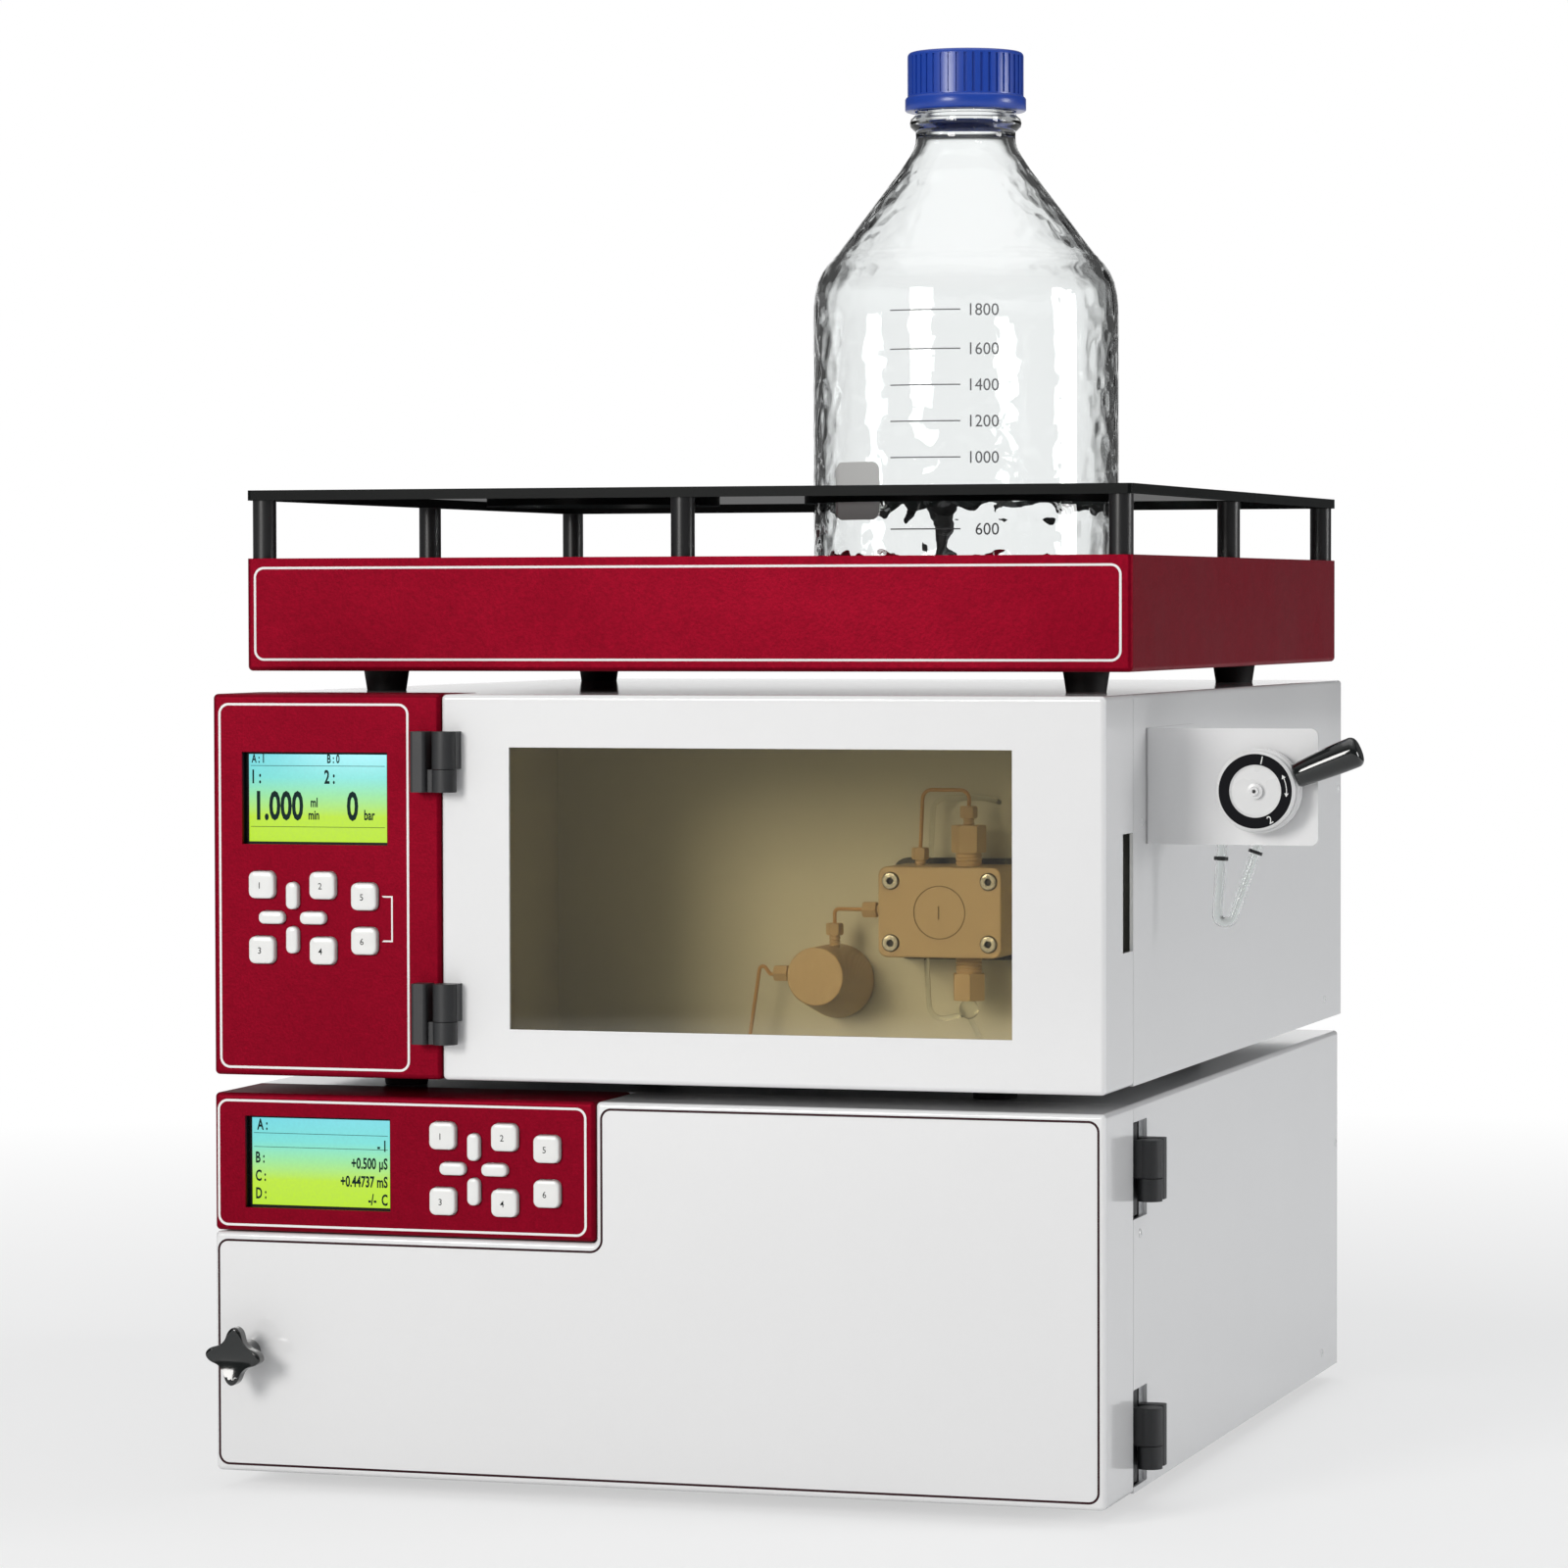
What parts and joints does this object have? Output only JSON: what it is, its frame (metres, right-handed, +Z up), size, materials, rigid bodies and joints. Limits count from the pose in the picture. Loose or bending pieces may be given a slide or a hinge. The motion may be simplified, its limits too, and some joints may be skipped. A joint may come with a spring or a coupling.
{
  "type": "ion chromatograph",
  "caption": "Bench-top ion chromatograph: oven and detector cabinet with a hinged door, windowed pump cabinet on it, side injection valve, and a reagent tray with a rail and a glass bottle.",
  "frame": {"origin": "bottom centre of the whole object's box, at the feet's lower faces", "axes": "+Z up, +X to the right as seen from the front, +Y to the back; the doors and key pads face -Y"},
  "size_m": [0.4782, 0.4898, 0.6139],
  "materials": {
    "red_paint": "fine-textured powder coat",
    "white_paint": "satin powder coat",
    "zinc_sheet": "zinc-plated, dull",
    "stainless": "brushed",
    "aluminium_block": "machined",
    "bulkhead_paint": "satin",
    "hinge_black": "matt black powder coat",
    "black_paint": "satin black",
    "black_gloss": "polished",
    "black_rubber": "matt",
    "key_white": "polished",
    "display": "lit display",
    "peek": "machined",
    "clear_hose": "clear",
    "smoked_pane": "bronze tinted",
    "smoked_rail": "dark tinted",
    "bottle_glass": "clear, slightly wavy",
    "blue_plastic": "satin",
    "bright_screws": "bright",
    "dial_white": "satin"
  },
  "bodies": {
    "cabinets": {"lower_chassis": "zinc_sheet", "lower_cover": "white_paint", "lower_control_panel": "red_paint", "display_boards": "display", "oven_liner": "stainless", "heater_block": "aluminium_block", "separation_column": "stainless", "conductivity_cell": "peek", "upper_chassis": "zinc_sheet", "upper_cover": "white_paint", "pump_control_panel": "red_paint", "pump_bulkhead": "bulkhead_paint", "body_hinges": "hinge_black", "pump_head": "peek", "pump_head_screws": "bright_screws", "pump_drive": "black_paint", "peek_fittings": "peek", "capillaries": "peek", "clear_tubes": "clear_hose", "pulse_damper": "peek", "valve_bracket": "white_paint", "valve_body": "black_paint", "valve_dial": "dial_white", "reagent_tray": "red_paint", "rail_posts": "black_paint", "rail_plate": "smoked_rail", "reagent_bottle": "bottle_glass", "rubber_feet": "black_rubber", "power_inlets": "black_gloss"},
    "pump_door": {"pump_door": "white_paint", "door_window": "smoked_pane", "pump_door_hinges": "hinge_black"},
    "oven_door": {"oven_door": "white_paint", "oven_door_hinges": "hinge_black"},
    "star_knob": {"star_knob": "black_gloss"},
    "valve_lever": {"valve_lever": "dial_white", "lever_grip": "black_gloss"},
    "bottle_cap": {"bottle_cap": "blue_plastic"},
    "lower_power_switch": {"lower_power_switch": "black_gloss"},
    "upper_power_switch": {"upper_power_switch": "black_gloss"},
    "lower_key_1": {"lower_key_1": "key_white"},
    "lower_key_2": {"lower_key_2": "key_white"},
    "lower_key_3": {"lower_key_3": "key_white"},
    "lower_key_4": {"lower_key_4": "key_white"},
    "lower_key_5": {"lower_key_5": "key_white"},
    "lower_key_6": {"lower_key_6": "key_white"},
    "lower_key_up": {"lower_key_up": "key_white"},
    "lower_key_down": {"lower_key_down": "key_white"},
    "lower_key_left": {"lower_key_left": "key_white"},
    "lower_key_right": {"lower_key_right": "key_white"},
    "upper_key_1": {"upper_key_1": "key_white"},
    "upper_key_2": {"upper_key_2": "key_white"},
    "upper_key_3": {"upper_key_3": "key_white"},
    "upper_key_4": {"upper_key_4": "key_white"},
    "upper_key_5": {"upper_key_5": "key_white"},
    "upper_key_6": {"upper_key_6": "key_white"},
    "upper_key_up": {"upper_key_up": "key_white"},
    "upper_key_down": {"upper_key_down": "key_white"},
    "upper_key_left": {"upper_key_left": "key_white"},
    "upper_key_right": {"upper_key_right": "key_white"}
  },
  "joints": [
    {"name": "pump_door_swing", "type": "hinge", "parent": "cabinets", "child": "pump_door", "pos_m": [-0.13033, -0.23093, 0.253], "axis": [0, 0, -1], "range_deg": [0, 120]},
    {"name": "oven_door_swing", "type": "hinge", "parent": "cabinets", "child": "oven_door", "pos_m": [0.15307, -0.17223, 0.0843], "axis": [0, 0, 1], "range_deg": [0, 120]},
    {"name": "star_knob_turn", "type": "hinge", "parent": "oven_door", "child": "star_knob", "pos_m": [-0.22003, -0.22543, 0.058], "axis": [0, 1, 0], "continuous": true},
    {"name": "valve_lever_turn", "type": "hinge", "parent": "cabinets", "child": "valve_lever", "pos_m": [0.19617, -0.16303, 0.2934], "axis": [0, 1, 0], "range_deg": [0, 60]},
    {"name": "bottle_cap_lift", "type": "slide", "parent": "cabinets", "child": "bottle_cap", "axis": [0, 0, 1], "range_m": [0, 0.045]},
    {"name": "lower_power_switch_rock", "type": "hinge", "parent": "cabinets", "child": "lower_power_switch", "pos_m": [-0.16543, 0.22957, 0.0565], "axis": [-1, 0, 0], "range_deg": [0, 20]},
    {"name": "upper_power_switch_rock", "type": "hinge", "parent": "cabinets", "child": "upper_power_switch", "pos_m": [-0.16543, 0.23757, 0.2225], "axis": [-1, 0, 0], "range_deg": [0, 20]},
    {"name": "lower_key_1_press", "type": "slide", "parent": "cabinets", "child": "lower_key_1", "axis": [0, 1, 0], "range_m": [0, 0.0012], "stiffness_N_per_m": 300},
    {"name": "lower_key_2_press", "type": "slide", "parent": "cabinets", "child": "lower_key_2", "axis": [0, 1, 0], "range_m": [0, 0.0012], "stiffness_N_per_m": 300},
    {"name": "lower_key_3_press", "type": "slide", "parent": "cabinets", "child": "lower_key_3", "axis": [0, 1, 0], "range_m": [0, 0.0012], "stiffness_N_per_m": 300},
    {"name": "lower_key_4_press", "type": "slide", "parent": "cabinets", "child": "lower_key_4", "axis": [0, 1, 0], "range_m": [0, 0.0012], "stiffness_N_per_m": 300},
    {"name": "lower_key_5_press", "type": "slide", "parent": "cabinets", "child": "lower_key_5", "axis": [0, 1, 0], "range_m": [0, 0.0012], "stiffness_N_per_m": 300},
    {"name": "lower_key_6_press", "type": "slide", "parent": "cabinets", "child": "lower_key_6", "axis": [0, 1, 0], "range_m": [0, 0.0012], "stiffness_N_per_m": 300},
    {"name": "lower_key_up_press", "type": "slide", "parent": "cabinets", "child": "lower_key_up", "axis": [0, 1, 0], "range_m": [0, 0.0012], "stiffness_N_per_m": 300},
    {"name": "lower_key_down_press", "type": "slide", "parent": "cabinets", "child": "lower_key_down", "axis": [0, 1, 0], "range_m": [0, 0.0012], "stiffness_N_per_m": 300},
    {"name": "lower_key_left_press", "type": "slide", "parent": "cabinets", "child": "lower_key_left", "axis": [0, 1, 0], "range_m": [0, 0.0012], "stiffness_N_per_m": 300},
    {"name": "lower_key_right_press", "type": "slide", "parent": "cabinets", "child": "lower_key_right", "axis": [0, 1, 0], "range_m": [0, 0.0012], "stiffness_N_per_m": 300},
    {"name": "upper_key_1_press", "type": "slide", "parent": "cabinets", "child": "upper_key_1", "axis": [0, 1, 0], "range_m": [0, 0.0012], "stiffness_N_per_m": 300},
    {"name": "upper_key_2_press", "type": "slide", "parent": "cabinets", "child": "upper_key_2", "axis": [0, 1, 0], "range_m": [0, 0.0012], "stiffness_N_per_m": 300},
    {"name": "upper_key_3_press", "type": "slide", "parent": "cabinets", "child": "upper_key_3", "axis": [0, 1, 0], "range_m": [0, 0.0012], "stiffness_N_per_m": 300},
    {"name": "upper_key_4_press", "type": "slide", "parent": "cabinets", "child": "upper_key_4", "axis": [0, 1, 0], "range_m": [0, 0.0012], "stiffness_N_per_m": 300},
    {"name": "upper_key_5_press", "type": "slide", "parent": "cabinets", "child": "upper_key_5", "axis": [0, 1, 0], "range_m": [0, 0.0012], "stiffness_N_per_m": 300},
    {"name": "upper_key_6_press", "type": "slide", "parent": "cabinets", "child": "upper_key_6", "axis": [0, 1, 0], "range_m": [0, 0.0012], "stiffness_N_per_m": 300},
    {"name": "upper_key_up_press", "type": "slide", "parent": "cabinets", "child": "upper_key_up", "axis": [0, 1, 0], "range_m": [0, 0.0012], "stiffness_N_per_m": 300},
    {"name": "upper_key_down_press", "type": "slide", "parent": "cabinets", "child": "upper_key_down", "axis": [0, 1, 0], "range_m": [0, 0.0012], "stiffness_N_per_m": 300},
    {"name": "upper_key_left_press", "type": "slide", "parent": "cabinets", "child": "upper_key_left", "axis": [0, 1, 0], "range_m": [0, 0.0012], "stiffness_N_per_m": 300},
    {"name": "upper_key_right_press", "type": "slide", "parent": "cabinets", "child": "upper_key_right", "axis": [0, 1, 0], "range_m": [0, 0.0012], "stiffness_N_per_m": 300}
  ]
}
